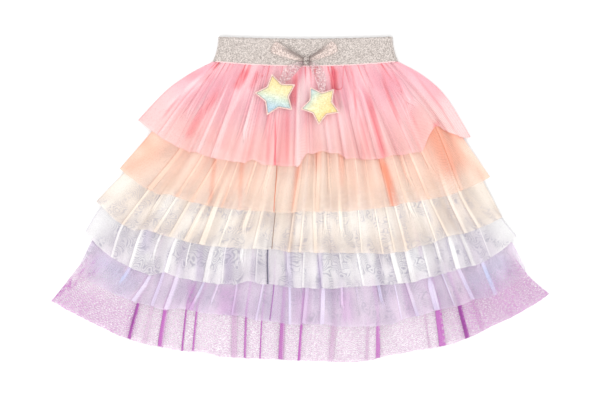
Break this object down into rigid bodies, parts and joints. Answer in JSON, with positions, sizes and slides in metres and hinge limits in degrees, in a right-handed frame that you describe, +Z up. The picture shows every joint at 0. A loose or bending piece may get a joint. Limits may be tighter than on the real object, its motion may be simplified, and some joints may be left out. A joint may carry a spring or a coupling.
{
  "type": "tulle skirt",
  "caption": "Child's tiered tulle skirt laid flat: glitter elastic waistband, long base net with shorter rainbow tiers front and back, a ribbon bow and padded stars.",
  "frame": {"origin": "middle of the footprint's bounding box, on the surface that the skirt lies on", "axes": "+X across the skirt to the right of the front as seen from above, +Y from the hem to the waist, +Z up, away from the surface, out of the front"},
  "size_m": [0.5498, 0.3592, 0.023],
  "materials": {
    "glitter_elastic": "woven elastic with silver glitter yarn",
    "pink_tulle": "soft matt tulle, candy pink",
    "peach_tulle": "soft matt tulle, peach",
    "cream_tulle": "soft matt tulle, warm cream",
    "mint_tulle": "soft matt tulle, very pale mint",
    "blue_tulle": "soft tulle, pale blue to lilac",
    "purple_net": "sheer glitter net, magenta lilac",
    "glitter_ribbon": "sheer silver glitter ribbon",
    "star_cloth": "glitter cloth, yellow to mint to pale blue"
  },
  "bodies": {
    "root": {"waistband": "glitter_elastic", "pink_back": "pink_tulle", "peach_back": "peach_tulle", "cream_back": "cream_tulle", "mint_back": "mint_tulle", "blue_back": "blue_tulle", "base_back": "purple_net", "base_front": "purple_net", "blue_front": "blue_tulle", "mint_front": "mint_tulle", "cream_front": "cream_tulle", "peach_front": "peach_tulle", "pink_front": "pink_tulle", "bow_loop_left": "glitter_ribbon", "bow_loop_right": "glitter_ribbon", "bow_knot": "glitter_ribbon", "tail_left": "glitter_ribbon", "tail_right": "glitter_ribbon", "star_left": "star_cloth", "star_right": "star_cloth"}
  },
  "joints": []
}
